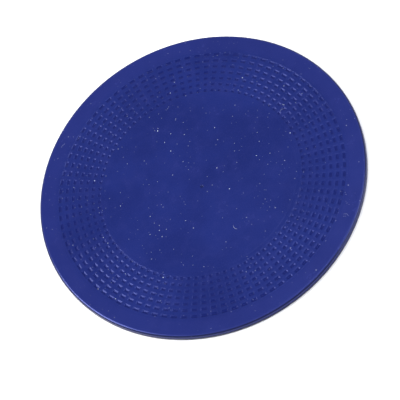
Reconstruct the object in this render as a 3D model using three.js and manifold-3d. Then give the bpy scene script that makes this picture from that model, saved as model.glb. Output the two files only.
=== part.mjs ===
// A round non-slip pad: one soft elastomer moulding with a grid of small pockets round its top face.
// Millimetres, +Z up. The origin is the centre of the underside, on the surface that the pad lies on.

import * as THREE from "three";
import { mergeGeometries, mergeVertices } from "three/addons/utils/BufferGeometryUtils.js";
import Module from "manifold-3d";

const wasm = await Module();
wasm.setup();

// The moulding
const PAD_RADIUS = 70;
const PAD_THICKNESS = 3;
const TOP_EDGE_ROUND = 1;
const BOTTOM_EDGE_ROUND = 0.45;
const SIDES = 90;

// The pockets stand in rows round the top face and in columns along its radii. The ribs between them all
// have one width, so the pockets of the outer rows are wider than those of the inner rows.
const POCKET_ROWS = 7;
const POCKET_COLUMNS = 90;
const FIRST_ROW_RADIUS = 43.75;
const ROW_PITCH = 2.86;
const RIB_WIDTH = 1.46;
const POCKET_LENGTH = ROW_PITCH - RIB_WIDTH;
const POCKET_DEPTH = 0.22;
const POCKET_WALL_RUN = 0.37;

// The band that holds the pockets lies a little lower than the plain centre and the plain rim
const BAND_MARGIN = 0.15;
const BAND_INNER_RADIUS = FIRST_ROW_RADIUS - POCKET_LENGTH / 2 - BAND_MARGIN;
const BAND_OUTER_RADIUS = FIRST_ROW_RADIUS + (POCKET_ROWS - 1) * ROW_PITCH + POCKET_LENGTH / 2 + BAND_MARGIN;
const BAND_SINK = 0.06;

// The witness mark that the mould's gate leaves near the middle
const GATE_X = -0.4;
const GATE_Y = -1.8;
const GATE_RADIUS = 0.8;
const GATE_DEPTH = 0.12;
const GATE_SIDES = 12;

// A cutter stands this far out of the face that it cuts
const CUTTER_REACH = 0.3;

// Faces this close to one plane count as one flat face
const FLATNESS = 0.001;

const ELASTOMER_BLUE = 0x29357e;

// Points on a quarter round, from startAngle to startAngle + 90 degrees about (centreRadius, centreHeight).
function quarterRound(centreRadius, centreHeight, radius, startAngle) {
  const points = [];
  for (const part of [0, 0.5, 1]) {
    const angle = THREE.MathUtils.degToRad(startAngle + 90 * part);
    const r = centreRadius + radius * Math.cos(angle);
    const z = centreHeight + radius * Math.sin(angle);
    points.push(new THREE.Vector2(r, z));
  }
  return points;
}

// The moulding without its pockets: a disc with rounded edges and a shallow sunken band on top.
function padBlank() {
  const bandHeight = PAD_THICKNESS - BAND_SINK;
  const bottomInset = PAD_RADIUS - BOTTOM_EDGE_ROUND;
  const topInset = PAD_RADIUS - TOP_EDGE_ROUND;
  const topEdgeHeight = PAD_THICKNESS - TOP_EDGE_ROUND;
  const profile = [
    new THREE.Vector2(0, 0),
    ...quarterRound(bottomInset, BOTTOM_EDGE_ROUND, BOTTOM_EDGE_ROUND, -90),
    ...quarterRound(topInset, topEdgeHeight, TOP_EDGE_ROUND, 0),
    new THREE.Vector2(BAND_OUTER_RADIUS + BAND_SINK, PAD_THICKNESS),
    new THREE.Vector2(BAND_OUTER_RADIUS, bandHeight),
    new THREE.Vector2(BAND_INNER_RADIUS, bandHeight),
    new THREE.Vector2(BAND_INNER_RADIUS - BAND_SINK, PAD_THICKNESS),
    new THREE.Vector2(0, PAD_THICKNESS),
  ];
  return new THREE.LatheGeometry(profile, SIDES).rotateX(Math.PI / 2);
}

// How wide the pockets of a row are, measured round the pad.
function pocketWidth(rowRadius) {
  return 2 * Math.PI * rowRadius / POCKET_COLUMNS - RIB_WIDTH;
}

// One pocket's cutter, on the +X side: a box whose walls lean in towards the pocket's floor.
function pocketCutter(rowRadius) {
  const height = POCKET_DEPTH + CUTTER_REACH;
  const cutter = new THREE.BoxGeometry(POCKET_LENGTH, pocketWidth(rowRadius), height);
  const corners = cutter.getAttribute("position");
  const flare = POCKET_WALL_RUN * CUTTER_REACH / POCKET_DEPTH;
  for (let i = 0; i < corners.count; i += 1) {
    const outwards = corners.getZ(i) < 0 ? -POCKET_WALL_RUN : flare;
    corners.setX(i, corners.getX(i) + outwards * Math.sign(corners.getX(i)));
    corners.setY(i, corners.getY(i) + outwards * Math.sign(corners.getY(i)));
  }
  const floorHeight = PAD_THICKNESS - BAND_SINK - POCKET_DEPTH;
  return cutter.translate(rowRadius, 0, floorHeight + height / 2);
}

// Every pocket's cutter: each row's cutter turned to each column's angle.
function pocketCutters() {
  const cutters = [];
  for (let row = 0; row < POCKET_ROWS; row += 1) {
    const rowCutter = pocketCutter(FIRST_ROW_RADIUS + row * ROW_PITCH);
    for (let column = 0; column < POCKET_COLUMNS; column += 1) {
      const angle = 2 * Math.PI * column / POCKET_COLUMNS;
      cutters.push(rowCutter.clone().rotateZ(angle));
    }
  }
  return mergeGeometries(cutters);
}

// The cutter for the gate's witness mark, a shallow round dimple.
function gateCutter() {
  const height = GATE_DEPTH + CUTTER_REACH;
  return new THREE.CylinderGeometry(GATE_RADIUS, GATE_RADIUS, height, GATE_SIDES)
    .rotateX(Math.PI / 2)
    .translate(GATE_X, GATE_Y, PAD_THICKNESS - GATE_DEPTH + height / 2);
}

// A closed geometry as a solid that can be cut, and back again.
function toSolid(geometry) {
  const bare = geometry.clone();
  bare.deleteAttribute("normal");
  bare.deleteAttribute("uv");
  const merged = mergeVertices(bare);
  const mesh = new wasm.Mesh({
    numProp: 3,
    vertProperties: new Float32Array(merged.getAttribute("position").array),
    triVerts: new Uint32Array(merged.getIndex().array),
  });
  return new wasm.Manifold(mesh);
}

function toGeometry(solid) {
  const mesh = solid.getMesh();
  const geometry = new THREE.BufferGeometry();
  geometry.setAttribute("position", new THREE.BufferAttribute(mesh.vertProperties, 3));
  geometry.setIndex(new THREE.BufferAttribute(mesh.triVerts, 1));
  geometry.computeVertexNormals();
  return geometry;
}

// The same solid, with each flat face joined up again where the cuts crossed it.
function withoutSpareEdges(solid) {
  return solid.asOriginal().simplify(FLATNESS);
}

function makePad() {
  const cutPad = toSolid(padBlank())
    .subtract(toSolid(pocketCutters()))
    .subtract(toSolid(gateCutter()));
  const elastomer = new THREE.MeshStandardMaterial({
    color: ELASTOMER_BLUE,
    roughness: 0.55,
    metalness: 0,
    flatShading: true,
  });
  const pad = new THREE.Mesh(toGeometry(withoutSpareEdges(cutPad)), elastomer);
  pad.name = "pad";
  return pad;
}

const nonSlipPad = new THREE.Group();
nonSlipPad.add(makePad());

export default nonSlipPad;
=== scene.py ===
import math

import bmesh
import bpy
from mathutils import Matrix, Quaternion, Vector, noise


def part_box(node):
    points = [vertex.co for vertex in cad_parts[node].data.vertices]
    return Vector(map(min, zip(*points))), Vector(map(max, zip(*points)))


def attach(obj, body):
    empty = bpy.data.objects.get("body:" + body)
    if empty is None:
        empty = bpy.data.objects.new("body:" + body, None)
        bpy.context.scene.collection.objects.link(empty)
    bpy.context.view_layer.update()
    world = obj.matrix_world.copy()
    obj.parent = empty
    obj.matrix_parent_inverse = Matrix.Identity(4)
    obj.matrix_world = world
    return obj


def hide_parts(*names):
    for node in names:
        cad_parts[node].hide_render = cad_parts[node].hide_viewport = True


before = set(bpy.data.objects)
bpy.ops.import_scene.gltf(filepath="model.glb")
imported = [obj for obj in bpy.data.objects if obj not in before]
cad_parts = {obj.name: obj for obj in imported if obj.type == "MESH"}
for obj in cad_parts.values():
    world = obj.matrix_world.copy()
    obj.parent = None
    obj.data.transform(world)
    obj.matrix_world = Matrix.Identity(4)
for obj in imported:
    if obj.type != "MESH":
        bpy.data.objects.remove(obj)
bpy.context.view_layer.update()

# A round non-slip pad: one soft blue elastomer moulding that lies flat on a pale floor.
# Everything is in metres, in the row frame: the underside is at height 0, and +Z is up.

MM = 0.001

cad_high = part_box("pad")[1]

# ---------------------------------------------------------------- sizes

PAD_RADIUS = cad_high.y
PAD_THICKNESS = cad_high.z
BOTTOM_EDGE_ROUND = 0.45 * MM
BOTTOM_EDGE_RINGS = 6

# The bead of the parting line: (distance above its middle in half widths, part of its rise)
PARTING_LINE = ((1.0, 0.0), (0.4, 1.0), (-0.4, 1.0), (-1.0, 0.0))
PARTING_LINE_HEIGHT = 1.3 * MM
PARTING_LINE_HALF_WIDTH = 0.12 * MM
PARTING_LINE_RISE = 0.03 * MM

# The soft top edge: (distance in from the wall, distance below the top face), in mm
TOP_EDGE = (
    (1.00, 0.0), (0.90, 0.012), (0.80, 0.045), (0.50, 0.175),
    (0.28, 0.33), (0.11, 0.56), (0.02, 0.84), (0.0, 1.1),
)
TOP_EDGE_WIDTH = 1.0 * MM
TOP_EDGE_HEIGHT = 1.1 * MM

POCKET_ROWS = 7
POCKET_COLUMNS = 90
FIRST_ROW_RADIUS = 43.75 * MM
ROW_PITCH = 2.86 * MM
LAST_ROW_RADIUS = FIRST_ROW_RADIUS + (POCKET_ROWS - 1) * ROW_PITCH
COLUMN_PITCH = 2 * math.pi / POCKET_COLUMNS
POCKET_DEPTH = 0.26 * MM

# The pockets' walls: (distance from the middle of the rib in mm, part of the depth reached there).
# A soft shoulder leads to a straight slope, and that one to a small round at the floor. The ribs
# that run round the pad have shorter shoulders than the ribs that run outwards.
ROUND_RIB_WALL = ((0.48, 0.0), (0.74, 0.15), (0.80, 0.23), (1.20, 0.93), (1.26, 1.0))
RADIAL_RIB_WALL = ((0.40, 0.0), (0.82, 0.18), (0.90, 0.28), (1.28, 0.96), (1.34, 1.0))

# The band's two narrow steps lie at the tops of the straight slopes of the first and the last row's
# outermost walls, and show between the pockets as a fine line
BAND_SINK = 0.06 * MM
STEP_START = 0.80 * MM
STEP_END = 0.86 * MM

# Two faint witness rings that the mould's inserts leave, one on each side of the band
WITNESS_RINGS = (41.2 * MM, 62.3 * MM)
WITNESS_HALF_WIDTH = 0.3 * MM
WITNESS_DEPTH = 0.02 * MM

# The dimple that the mould's gate leaves
GATE_CENTRE = Vector((-0.4 * MM, -1.8 * MM))
GATE_RADIUS = 0.8 * MM
GATE_DEPTH = 0.12 * MM

# A face that is twisted by more than this lies across a mitre
MITRE_TWIST = 0.005 * MM

# The faces' slight waves, which die out towards the top edge
WAVE_SIZE = 35 * MM
WAVE_HEIGHT = 0.03 * MM
WAVE_FADE_WIDTH = 4 * MM

# Where the plain stretches have rings of points. MIDDLE_RINGS is (first radius, last radius, how many);
# the centre's and the rim's rings are spread evenly between their ends, apart from the stated gaps.
MIDDLE_RINGS = (0.35 * MM, 3.2 * MM, 11)
FIRST_CENTRE_RING = 5 * MM
CENTRE_RING_COUNT = 18
RIM_RING_COUNT = 7
GAP_BESIDE_BAND = 0.4 * MM
GAP_BESIDE_EDGE = 0.5 * MM
UNDERSIDE_RINGS = (66 * MM, 50 * MM, 30 * MM)
INNERMOST_UNDERSIDE_RING = 10 * MM

# A ring of a plain stretch has this many times fewer points than one of the band, and a ring near the
# axis has as many times fewer again
THINNING = 3

# ---------------------------------------------------------------- camera

CAMERA_AIM = Vector((-3.97 * MM, -5.21 * MM, 0.0))
CAMERA_DISTANCE = 1.204
CAMERA_ELEVATION = math.radians(58.16)
CAMERA_AZIMUTH = math.radians(-0.45)
CAMERA_ROLL = math.radians(-30.98)
CAMERA_LENS = 262.8
CAMERA_SENSOR = 36.0
CAMERA_NEAR = 0.01
CAMERA_FAR = 20.0


def direction(azimuth, elevation):
    """The unit vector at a compass angle counted from +X towards +Y, and a height above the floor."""
    flat = math.cos(elevation)
    return Vector((flat * math.cos(azimuth), flat * math.sin(azimuth), math.sin(elevation)))


def make_camera():
    """The camera stands on the near side, -Y, and is turned about its own view axis."""
    data = bpy.data.cameras.new("camera")
    data.lens = CAMERA_LENS
    data.sensor_width = CAMERA_SENSOR
    data.clip_start = CAMERA_NEAR
    data.clip_end = CAMERA_FAR
    camera = bpy.data.objects.new("camera", data)
    back = direction(CAMERA_AZIMUTH - math.pi / 2, CAMERA_ELEVATION)
    camera.location = CAMERA_AIM + back * CAMERA_DISTANCE
    camera.rotation_mode = "QUATERNION"
    roll = Quaternion((0.0, 0.0, 1.0), CAMERA_ROLL)
    camera.rotation_quaternion = (-back).to_track_quat("-Z", "Y") @ roll
    bpy.context.collection.objects.link(camera)
    bpy.context.scene.camera = camera


# ---------------------------------------------------------------- the pad's surface

def smooth_step(value, start, end):
    """0 before start, 1 after end, and a smooth rise between them."""
    share = min(max((value - start) / (end - start), 0.0), 1.0)
    return share * share * (3.0 - 2.0 * share)


def wall_share(wall, distance):
    """The part of a pocket's depth that is reached at a distance from the rib's middle."""
    if distance <= wall[0][0] * MM:
        return 0.0
    for (start, low), (end, high) in zip(wall, wall[1:]):
        if distance < end * MM:
            return low + (high - low) * (distance / MM - start) / (end - start)
    return 1.0


def pocket_drop(radius, angle):
    """How far the surface lies below the ribs' tops: four walls that meet at mitred corners."""
    row = round((radius - FIRST_ROW_RADIUS) / ROW_PITCH)
    row = min(max(row, 0), POCKET_ROWS - 1)
    along = abs(radius - FIRST_ROW_RADIUS - row * ROW_PITCH)
    across = radius * abs(angle - round(angle / COLUMN_PITCH) * COLUMN_PITCH)
    down_round_rib = wall_share(ROUND_RIB_WALL, ROW_PITCH / 2 - along)
    down_radial_rib = wall_share(RADIAL_RIB_WALL, radius * COLUMN_PITCH / 2 - across)
    return POCKET_DEPTH * min(down_round_rib, down_radial_rib)


def band_drop(radius):
    """How far the textured band lies below the plain centre and the plain rim."""
    past_inner = radius - FIRST_ROW_RADIUS + ROW_PITCH / 2
    before_outer = LAST_ROW_RADIUS + ROW_PITCH / 2 - radius
    return BAND_SINK * smooth_step(min(past_inner, before_outer), STEP_START, STEP_END)


def witness_drop(radius):
    """The depth of the faint rings beside the band."""
    nearest = min(abs(radius - ring) for ring in WITNESS_RINGS)
    return WITNESS_DEPTH * (1.0 - smooth_step(nearest, 0.0, WITNESS_HALF_WIDTH))


def gate_drop(x, y):
    """The depth of the gate's dimple near the middle."""
    distance = (Vector((x, y)) - GATE_CENTRE).length
    return GATE_DEPTH * (1.0 - smooth_step(distance, 0.5 * GATE_RADIUS, GATE_RADIUS))


def wave(x, y):
    """The slight unevenness of a soft moulding, always inwards so that it stays inside its size."""
    place = Vector((x, y, 0.0)) / WAVE_SIZE
    return WAVE_HEIGHT * 0.5 * (1.0 + noise.noise(place))


def top_height(radius, angle):
    """The height of the top face with all that is moulded into it."""
    x = radius * math.cos(angle)
    y = radius * math.sin(angle)
    fade = 1.0 - smooth_step(radius, PAD_RADIUS - WAVE_FADE_WIDTH, PAD_RADIUS - TOP_EDGE_WIDTH)
    drop = band_drop(radius) + pocket_drop(radius, angle) + witness_drop(radius) + gate_drop(x, y)
    return PAD_THICKNESS - drop - fade * wave(x, y)


# ---------------------------------------------------------------- the pad's mesh

def cell_places(wall, pitch):
    """Where a cell has points, counted from the pocket's centre: on both walls and the far rib's middle."""
    low_side = [distance * MM - pitch / 2 for distance, _ in wall]
    return low_side + [-place for place in reversed(low_side)] + [pitch / 2]


def band_angles(radius):
    """The angles of a ring's points in the band, where the points follow the pockets' walls."""
    places = cell_places(RADIAL_RIB_WALL, radius * COLUMN_PITCH)
    columns = [column * COLUMN_PITCH for column in range(POCKET_COLUMNS)]
    return [column + place / radius for column in columns for place in places]


def plain_angles(radius):
    """Fewer angles, for the plain stretches, in line with the nearest ring of the band."""
    band = band_radii()
    return band_angles(min(max(radius, band[0]), band[-1]))[::THINNING]


def middle_angles(radius):
    """Fewer angles still, for the rings near the axis."""
    return plain_angles(radius)[::THINNING]


def spread(start, end, count):
    """count distances from start to end, both included."""
    return [start + (end - start) * i / (count - 1) for i in range(count)]


def band_radii():
    """The rings of the textured band, from the first row's inner wall to the last row's outer wall."""
    rows = [FIRST_ROW_RADIUS + row * ROW_PITCH for row in range(POCKET_ROWS)]
    radii = [row + distance for row in rows for distance in cell_places(ROUND_RIB_WALL, ROW_PITCH)][:-1]
    inner_step_foot = FIRST_ROW_RADIUS - ROW_PITCH / 2 + STEP_END
    outer_step_foot = LAST_ROW_RADIUS + ROW_PITCH / 2 - STEP_END
    return sorted(radii + [inner_step_foot, outer_step_foot])


def plain_radii(start, end, count):
    """Even rings over a plain stretch, with closer ones across a witness ring that lies in it."""
    radii = spread(start, end, count)
    for ring in WITNESS_RINGS:
        if start < ring < end:
            near = [ring + share * WITNESS_HALF_WIDTH for share in (-1.0, -0.5, 0.0, 0.5, 1.0)]
            radii = [r for r in radii if abs(r - ring) > 1.5 * WITNESS_HALF_WIDTH] + near
    return sorted(radii)


def edge_profile():
    """(radius, height) points down the side: soft top edge, wall with its parting line, bottom round."""
    wall = PAD_RADIUS - PARTING_LINE_RISE
    points = [(wall - inset * MM, PAD_THICKNESS - drop * MM) for inset, drop in TOP_EDGE]
    for offset, share in PARTING_LINE:
        height = PARTING_LINE_HEIGHT + offset * PARTING_LINE_HALF_WIDTH
        points.append((wall + share * PARTING_LINE_RISE, height))
    for angle in spread(0.0, -math.pi / 2, BOTTOM_EDGE_RINGS):
        radius = wall - BOTTOM_EDGE_ROUND * (1.0 - math.cos(angle))
        points.append((radius, BOTTOM_EDGE_ROUND * (1.0 + math.sin(angle))))
    return points


def add_ring(mesh, angles, radius, height):
    """One ring of points. angles is a function of the radius; height is a number or a function of
    the radius and the angle."""
    ring = []
    for angle in angles(radius):
        z = height(radius, angle) if callable(height) else height
        ring.append(mesh.verts.new((radius * math.cos(angle), radius * math.sin(angle), z)))
    return ring


def add_quad(mesh, corners):
    """A four-sided face, or two three-sided ones with a sharp edge where it crosses a pocket's mitre."""
    heights = [corner.co.z for corner in corners]
    twist = abs(heights[0] - heights[1] + heights[2] - heights[3])
    if twist < MITRE_TWIST:
        mesh.faces.new(corners)
        return
    lowest = heights.index(min(heights))
    a, b, c, d = corners[lowest:] + corners[:lowest]
    mesh.faces.new((a, b, c))
    mesh.faces.new((a, c, d))
    mesh.edges.get((a, c)).smooth = False


def bridge(mesh, first, second):
    """Faces between two rings. One ring may have a whole number of times the other's points."""
    count = min(len(first), len(second))
    first_step = len(first) // count
    second_step = len(second) // count
    for i in range(count):
        near = [first[(i * first_step + k) % len(first)] for k in range(first_step + 1)]
        far = [second[(i * second_step + k) % len(second)] for k in range(second_step + 1)]
        corners = near + far[::-1]
        if len(corners) == 4:
            add_quad(mesh, corners)
        else:
            mesh.faces.new(corners)


def close_middle(mesh, ring, height, upwards):
    """A fan of faces from a ring to the axis."""
    middle = mesh.verts.new((0.0, 0.0, height))
    for i, point in enumerate(ring):
        following = ring[(i + 1) % len(ring)]
        mesh.faces.new((middle, point, following) if upwards else (middle, following, point))


def pad_rings(mesh):
    """Every ring of points, from the middle of the top, over the edge, to the middle of the underside."""
    rings = [add_ring(mesh, middle_angles, radius, top_height) for radius in spread(*MIDDLE_RINGS)]
    band = band_radii()
    for radius in plain_radii(FIRST_CENTRE_RING, band[0] - GAP_BESIDE_BAND, CENTRE_RING_COUNT):
        rings.append(add_ring(mesh, plain_angles, radius, top_height))
    for radius in band:
        rings.append(add_ring(mesh, band_angles, radius, top_height))
    edge = edge_profile()
    rim_start = band[-1] + GAP_BESIDE_BAND
    rim_end = edge[0][0] - GAP_BESIDE_EDGE
    for radius in plain_radii(rim_start, rim_end, RIM_RING_COUNT):
        rings.append(add_ring(mesh, plain_angles, radius, top_height))
    for radius, height in edge:
        rings.append(add_ring(mesh, plain_angles, radius, height))
    for radius in UNDERSIDE_RINGS:
        rings.append(add_ring(mesh, plain_angles, radius, 0.0))
    rings.append(add_ring(mesh, middle_angles, INNERMOST_UNDERSIDE_RING, 0.0))
    return rings


def skin_zone(place):
    """Which of the skin's materials covers a place: 0 the faces, 1 the soft top edge, 2 the side."""
    if place.xy.length < PAD_RADIUS - TOP_EDGE_WIDTH:
        return 0
    return 1 if place.z > PAD_THICKNESS - TOP_EDGE_HEIGHT else 2


def make_pad(materials):
    """The whole moulding as one closed mesh, with one material for each zone of its skin."""
    mesh = bmesh.new()
    rings = pad_rings(mesh)
    close_middle(mesh, rings[0], top_height(0.0, 0.0), True)
    for first, second in zip(rings, rings[1:]):
        bridge(mesh, second, first)
    close_middle(mesh, rings[-1], 0.0, False)
    bmesh.ops.recalc_face_normals(mesh, faces=mesh.faces)
    for face in mesh.faces:
        face.smooth = True
        face.material_index = skin_zone(face.calc_center_median())
    data = bpy.data.meshes.new("moulded_pad")
    mesh.to_mesh(data)
    mesh.free()
    for material in materials:
        data.materials.append(material)
    pad = bpy.data.objects.new("moulded_pad", data)
    bpy.context.collection.objects.link(pad)
    return pad


# ---------------------------------------------------------------- materials

class NodeMaker:
    """Adds shader nodes to a material and joins them."""

    def __init__(self, name):
        self.material = bpy.data.materials.new(name)
        self.material.use_nodes = True
        self.tree = self.material.node_tree
        self.shader = self.tree.nodes["Principled BSDF"]

    def put(self, socket, value):
        """Links a node's output to the socket, or sets the socket to a constant."""
        if isinstance(value, bpy.types.NodeSocket):
            self.tree.links.new(value, socket)
        else:
            socket.default_value = value

    def add(self, kind, inputs=None, **settings):
        """A new node; inputs gives its sockets' values by name or number."""
        node = self.tree.nodes.new("ShaderNode" + kind)
        for name, value in settings.items():
            setattr(node, name, value)
        for key, value in (inputs or {}).items():
            self.put(node.inputs[key], value)
        return node

    def math(self, operation, first, second=0.0):
        return self.add("Math", {0: first, 1: second}, operation=operation).outputs[0]

    def ramp(self, value, start, end, low=0.0, high=1.0):
        """Carries value from start..end to low..high, smoothly and no further."""
        inputs = {"Value": value, "From Min": start, "From Max": end, "To Min": low, "To Max": high}
        return self.add("MapRange", inputs, interpolation_type="SMOOTHSTEP").outputs["Result"]

    def mix(self, share, first, second):
        """A colour that goes from first to second as share goes from 0 to 1."""
        node = self.add("Mix", data_type="RGBA")
        self.put(node.inputs[0], share)
        self.put(node.inputs[6], first)
        self.put(node.inputs[7], second)
        return node.outputs[2]

    def shifted(self, place, offset):
        return self.add("VectorMath", {0: place, 1: offset}, operation="ADD").outputs[0]

    def noise(self, place, size, detail=2.0, roughness=0.5):
        inputs = {"Vector": place, "Scale": 1.0 / size, "Detail": detail, "Roughness": roughness}
        return self.add("TexNoise", inputs).outputs["Fac"]


def places_on_pad(make):
    """A point's place, its height, and its place seen from above. The last one is for dust and lint,
    so that a speck isn't drawn down the side as a line."""
    place = make.add("TexCoord").outputs["Object"]
    parts = make.add("SeparateXYZ", {0: place}).outputs
    return place, parts[2], make.add("CombineXYZ", {0: parts[0], 1: parts[1]}).outputs[0]


def litter_cells(make, place, cell):
    """Scattered points, one in each cell: the Voronoi node, and three chances between 0 and 1 a cell."""
    cells = make.add("TexVoronoi", {"Vector": place, "Scale": 1.0 / cell}, voronoi_dimensions="2D")
    return cells, make.add("SeparateColor", {0: cells.outputs["Color"]}).outputs


def specks(make, place, cell, radius, share):
    """Small round specks of dust: one may lie in each cell, in the stated share of the cells.
    Their radius goes from half to one and a half times the stated one, and few of them are bright."""
    cells, chance = litter_cells(make, place, cell)
    size = make.math("MULTIPLY", make.math("ADD", chance[1], 0.5), radius / cell)
    near = make.math("DIVIDE", cells.outputs["Distance"], size)
    spot = make.ramp(near, 1.0, 0.35)
    there = make.math("LESS_THAN", chance[0], share)
    bright = make.math("ADD", make.math("MULTIPLY", make.math("POWER", chance[2], 2.5), 0.85), 0.15)
    return make.math("MULTIPLY", make.math("MULTIPLY", spot, there), bright)


def fibres(make, place, cell, half_length, half_width, share):
    """Short curved lint fibres: one may lie in each cell, at its own angle and with its own bend."""
    cells, chance = litter_cells(make, place, cell)
    centre = {0: place, 1: cells.outputs["Position"]}
    offset = make.add("VectorMath", centre, operation="SUBTRACT").outputs[0]
    turn = {"Vector": offset, "Angle": make.math("MULTIPLY", chance[1], 2 * math.pi)}
    turned = make.add("VectorRotate", turn, rotation_type="Z_AXIS").outputs[0]
    local = make.add("SeparateXYZ", {0: turned}).outputs
    bend = make.math("MULTIPLY", make.math("SUBTRACT", chance[2], 0.5), 1.2 / half_length)
    curve = make.math("MULTIPLY", make.math("POWER", local[0], 2.0), bend)
    aside = make.math("ABSOLUTE", make.math("SUBTRACT", local[1], curve))
    line = make.ramp(aside, half_width, half_width * 0.3)
    ends = make.ramp(make.math("ABSOLUTE", local[0]), half_length, half_length * 0.8)
    there = make.math("LESS_THAN", chance[0], share)
    return make.math("MULTIPLY", make.math("MULTIPLY", line, ends), there)


# A dark blue that paints shade on the rounded top edge and at the side's foot, and darkens the gate's mark
SHADE_AND_MARK_BLUE = (0.0008, 0.0012, 0.010, 1.0)
# Painted shade for the pocket floors
POCKET_SHADE_BLUE = (0.0002, 0.0034, 0.064, 1.0)
DEEP_BLUE = (0.0018, 0.0064, 0.070, 1.0)
MID_BLUE = (0.0042, 0.0106, 0.092, 1.0)
# A lighter blue for the patches of the mottle and grain, and for the rim's painted sheen
BLOOM_AND_SHEEN_BLUE = (0.0100, 0.0142, 0.100, 1.0)
DUST_WHITE = (0.82, 0.88, 1.0, 1.0)
REFLECTION_BLUE = (0.32, 0.38, 1.0, 1.0)
PAPER_WHITE = (0.92, 0.92, 0.93, 1.0)

# The sizes of the skin's patterns, and which stretch of the cloud pattern lies on the pad
CLOUD_SIZE = 30 * MM
CLOUD_SHIFT = (0.27, 0.55, 0.0)
MOTTLE_SIZE = 5 * MM
PEEL_SIZE = 1.6 * MM
GRAIN_SIZE = 0.5 * MM

# Dust: (size of a cell, radius of a speck, share of the cells that hold one)
COARSE_DUST = (4.2 * MM, 0.20 * MM, 0.13)
FINE_DUST = (1.7 * MM, 0.14 * MM, 0.13)
FINE_DUST_STRENGTH = 0.5

# Lint: (size of a cell, half a fibre's length, half its width, share of the cells that hold one)
LINT = (21 * MM, 1.3 * MM, 0.07 * MM, 0.12)
LINT_STRENGTH = 0.35

# Where the centre's dust thins out, and to how much of it
DUSTY_RADIUS = 40 * MM
CLEANER_RADIUS = 46 * MM
DUST_OUTSIDE = 0.55

# Where the rim's painted sheen sets in and is complete, and its strength
RIM_SHEEN_START = 61 * MM
RIM_SHEEN_END = 64 * MM
RIM_SHEEN = 0.35

# How strongly each zone of the skin reflects: the handled top edge is shinier than the faces
SKIN_GLOSS = (
    ("blue_elastomer_face", 0.34),
    ("blue_elastomer_edge", 0.70),
    ("blue_elastomer_side", 0.12),
)


def face_colour(make, place, height, out, flat, mottle, grain):
    """Cloudy blue with a faint bloom, painted sheen on the rim, painted shade in the pockets, and a darker
    gate mark.
    """
    cloud = make.noise(make.shifted(place, CLOUD_SHIFT), CLOUD_SIZE, detail=4.0, roughness=0.6)
    colour = make.mix(make.ramp(cloud, 0.3, 0.7), DEEP_BLUE, MID_BLUE)
    colour = make.mix(make.ramp(mottle, 0.45, 0.8, 0.0, 0.35), colour, BLOOM_AND_SHEEN_BLUE)
    colour = make.mix(make.ramp(grain, 0.50, 0.75, 0.0, 0.6), colour, BLOOM_AND_SHEEN_BLUE)
    colour = make.mix(make.ramp(grain, 0.50, 0.25, 0.0, 0.5), colour, DEEP_BLUE)

    gate = {0: flat, 1: (*GATE_CENTRE, 0.0)}
    from_gate = make.add("VectorMath", gate, operation="DISTANCE").outputs["Value"]
    gate_mark = make.ramp(from_gate, 1.2 * GATE_RADIUS, 0.7 * GATE_RADIUS)
    colour = make.mix(make.math("MULTIPLY", gate_mark, 0.6), colour, SHADE_AND_MARK_BLUE)
    # Painted sheen: a lighter blue over the plain rim
    rim_sheen = make.ramp(out, RIM_SHEEN_START, RIM_SHEEN_END)
    colour = make.mix(make.math("MULTIPLY", rim_sheen, RIM_SHEEN), colour, BLOOM_AND_SHEEN_BLUE)
    # Painted shade: the pockets get darker towards their floors
    floor_height = PAD_THICKNESS - BAND_SINK - POCKET_DEPTH
    pocket_shade = make.ramp(height, floor_height + 0.24 * MM, floor_height + 0.05 * MM)
    return make.mix(make.math("MULTIPLY", pocket_shade, 0.95), colour, POCKET_SHADE_BLUE)


def with_painted_edge_shade(make, colour, height, out):
    """Paints shade on the steep part of the soft top edge, and a contact shadow on the foot of the side."""
    # Painted shade on the steep part of the rounded top edge
    at_edge = make.ramp(out, PAD_RADIUS - 0.9 * MM, PAD_RADIUS - 0.5 * MM)
    below_top = make.ramp(height, PAD_THICKNESS - 0.05 * MM, PAD_THICKNESS - 0.20 * MM)
    above_wall = make.ramp(height, PAD_THICKNESS - 0.95 * MM, PAD_THICKNESS - 0.65 * MM)
    rounding_shade = make.math("MULTIPLY", at_edge, make.math("MULTIPLY", below_top, above_wall))
    colour = make.mix(make.math("MULTIPLY", rounding_shade, 0.75), colour, SHADE_AND_MARK_BLUE)
    # Painted contact shadow on the lowest part of the side
    foot_shade = make.ramp(height, 1.3 * MM, 0.7 * MM)
    return make.mix(make.math("MULTIPLY", foot_shade, 0.95), colour, SHADE_AND_MARK_BLUE)


def dust_and_lint(make, flat, out):
    """How much dust or lint covers a place: none on the side, and less outside the plain centre."""
    facing_up = make.add("SeparateXYZ", {0: make.add("NewGeometry").outputs["Normal"]}).outputs[2]
    thinned = make.ramp(out, DUSTY_RADIUS, CLEANER_RADIUS, 1.0, DUST_OUTSIDE)
    settles = make.math("MULTIPLY", make.ramp(facing_up, 0.3, 0.9), thinned)
    fine = make.math("MULTIPLY", specks(make, flat, *FINE_DUST), FINE_DUST_STRENGTH)
    dust = make.math("MAXIMUM", specks(make, flat, *COARSE_DUST), fine)
    lint = make.math("MULTIPLY", fibres(make, flat, *LINT), LINT_STRENGTH)
    return make.math("MULTIPLY", make.math("MAXIMUM", dust, lint), settles)


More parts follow.
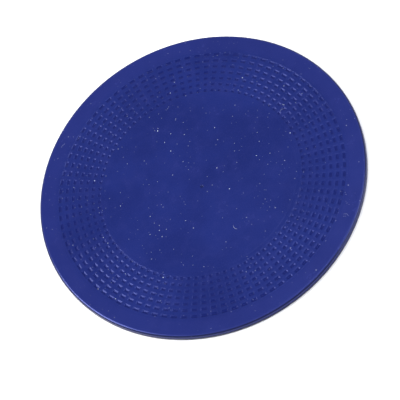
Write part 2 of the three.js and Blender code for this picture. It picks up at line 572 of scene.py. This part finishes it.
def elastomer(name, gloss):
    """Satin blue elastomer with cloudy colour, a fine moulded grain, a faint bloom, dust and lint, with
    painted shade in the pockets and on the edges and a painted sheen on the rim.
    """
    make = NodeMaker(name)
    place, height, flat = places_on_pad(make)
    out = make.add("VectorMath", {0: flat}, operation="LENGTH").outputs["Value"]
    mottle = make.noise(place, MOTTLE_SIZE, detail=3.0)
    grain = make.noise(place, GRAIN_SIZE, detail=2.0)
    peel = make.noise(place, PEEL_SIZE, detail=1.0)

    colour = face_colour(make, place, height, out, flat, mottle, grain)
    colour = with_painted_edge_shade(make, colour, height, out)
    litter = dust_and_lint(make, flat, out)
    colour = make.mix(litter, colour, DUST_WHITE)

    rough = make.ramp(mottle, 0.2, 0.8, 0.22, 0.28)
    rough = make.math("ADD", rough, make.math("MULTIPLY", litter, 0.35))
    grained = make.add("Bump", {"Height": grain, "Strength": 0.25, "Distance": 0.02 * MM}).outputs[0]
    peeled = {"Height": peel, "Strength": 0.25, "Distance": 0.03 * MM, "Normal": grained}

    make.put(make.shader.inputs["Base Color"], colour)
    make.put(make.shader.inputs["Roughness"], rough)
    make.put(make.shader.inputs["Normal"], make.add("Bump", peeled).outputs[0])
    make.put(make.shader.inputs["Specular IOR Level"], gloss)
    make.put(make.shader.inputs["Specular Tint"], REFLECTION_BLUE)
    return make.material


def floor_paper():
    """Plain matt white paper."""
    make = NodeMaker("floor_paper")
    make.put(make.shader.inputs["Base Color"], PAPER_WHITE)
    make.put(make.shader.inputs["Roughness"], 0.95)
    make.put(make.shader.inputs["Specular IOR Level"], 0.1)
    return make.material


# ---------------------------------------------------------------- floor and lights

FLOOR_HALF_SIZE = 3.0

# (name, compass angle from +X, height in degrees, (width, height) in metres, power in watts, colour)
SOFTBOXES = (
    ("key_light", 158, 47, (0.76, 0.76), 22.0, (1.0, 0.99, 0.98)),
    ("side_light", -22, 38, (0.80, 0.36), 9.0, (0.97, 0.98, 1.0)),
    ("top_light", 60, 74, (0.40, 0.40), 3.0, (0.97, 0.98, 1.0)),
)
SOFTBOX_DISTANCE = 1.5

# The studio's strength goes from WORLD_AT_HORIZON to WORLD_OVERHEAD while the upward part of the
# direction, 0 at the horizon and 1 straight up, goes from HORIZON_END to OVERHEAD_START
WORLD_COLOUR = (0.93, 0.945, 1.0, 1.0)
WORLD_AT_HORIZON = 0.50
WORLD_OVERHEAD = 1.20
HORIZON_END = 0.05
OVERHEAD_START = 0.70


def make_floor():
    mesh = bmesh.new()
    bmesh.ops.create_grid(mesh, x_segments=2, y_segments=2, size=FLOOR_HALF_SIZE)
    data = bpy.data.meshes.new("floor")
    mesh.to_mesh(data)
    mesh.free()
    data.materials.append(floor_paper())
    floor = bpy.data.objects.new("floor", data)
    bpy.context.collection.objects.link(floor)


def make_softbox(name, azimuth, elevation, size, power, colour):
    """A rectangular area light that faces the pad."""
    data = bpy.data.lights.new(name, "AREA")
    data.shape = "RECTANGLE"
    data.size, data.size_y = size
    data.energy = power
    data.color = colour
    lamp = bpy.data.objects.new(name, data)
    away = direction(math.radians(azimuth), math.radians(elevation))
    lamp.location = away * SOFTBOX_DISTANCE
    lamp.rotation_mode = "QUATERNION"
    lamp.rotation_quaternion = (-away).to_track_quat("-Z", "Y")
    bpy.context.collection.objects.link(lamp)


def make_world():
    """A pale studio that is brightest overhead and dimmer towards the horizon."""
    world = bpy.data.worlds.new("studio")
    world.use_nodes = True
    tree = world.node_tree
    background = tree.nodes["Background"]
    background.inputs["Color"].default_value = WORLD_COLOUR
    place = tree.nodes.new("ShaderNodeTexCoord")
    parts = tree.nodes.new("ShaderNodeSeparateXYZ")
    strength = tree.nodes.new("ShaderNodeMapRange")
    strength.inputs["From Min"].default_value = HORIZON_END
    strength.inputs["From Max"].default_value = OVERHEAD_START
    strength.inputs["To Min"].default_value = WORLD_AT_HORIZON
    strength.inputs["To Max"].default_value = WORLD_OVERHEAD
    tree.links.new(place.outputs["Generated"], parts.inputs[0])
    tree.links.new(parts.outputs[2], strength.inputs["Value"])
    tree.links.new(strength.outputs["Result"], background.inputs["Strength"])
    bpy.context.scene.world = world


# ---------------------------------------------------------------- the scene

make_camera()
pad = make_pad([elastomer(name, gloss) for name, gloss in SKIN_GLOSS])
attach(pad, "root")
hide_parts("pad")
make_floor()
for softbox in SOFTBOXES:
    make_softbox(*softbox)
make_world()
bpy.context.scene.view_settings.view_transform = "Standard"
